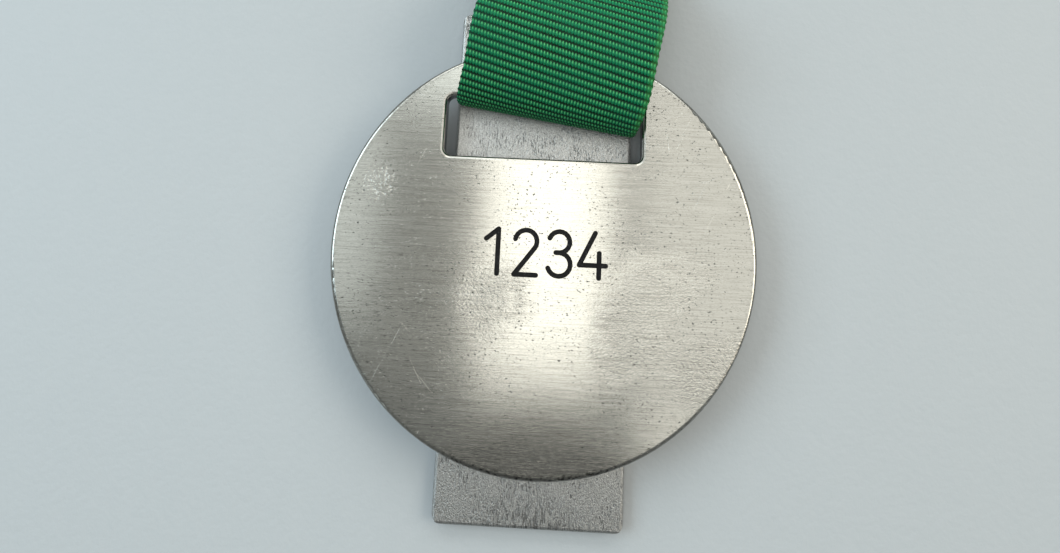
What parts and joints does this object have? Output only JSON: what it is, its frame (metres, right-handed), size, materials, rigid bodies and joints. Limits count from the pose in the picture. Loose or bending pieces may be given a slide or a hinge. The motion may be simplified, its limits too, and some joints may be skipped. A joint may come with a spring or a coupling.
{
  "type": "sports finisher medal",
  "caption": "Round cast medal lying back face up, with a ribbon slot, a rectangular front plate behind it, engraved numerals and a folded woven neck ribbon.",
  "frame": {"origin": "on the front plate's lower face, on the axis of the round disc", "axes": "+Z out of the disc's back face, +Y towards the ribbon slot and the ribbon, +X to the right when the back face is read"},
  "size_m": [0.057, 0.1485, 0.0133],
  "materials": {
    "disc_metal": "antique silver, brushed straight across, worn",
    "plate_metal": "matte antique silver, blasted, speckled",
    "black_enamel": "matte black filling paint",
    "fixing_metal": "plain",
    "green_ribbon": "ribbed woven polyester",
    "green_thread": "sewing thread"
  },
  "bodies": {
    "medal": {"medal_disc": "disc_metal", "front_plate": "plate_metal", "numeral_infill": "black_enamel", "fixing_pins": "fixing_metal", "spacer_washers": "fixing_metal"},
    "loop": {"ribbon_loop": "green_ribbon"},
    "tails": {"ribbon_tails": "green_ribbon", "ribbon_hank": "green_ribbon", "seam_stitching": "green_thread"}
  },
  "joints": [
    {"name": "ribbon_slide", "type": "slide", "parent": "medal", "child": "loop", "axis": [1, 0, 0], "range_m": [-0.001, 0.0001]},
    {"name": "ribbon_swing", "type": "hinge", "parent": "loop", "child": "tails", "pos_m": [0.00325, 0.04204, 0.0024], "axis": [0.989, -0.1478, 0], "range_deg": [-90, 90]}
  ]
}
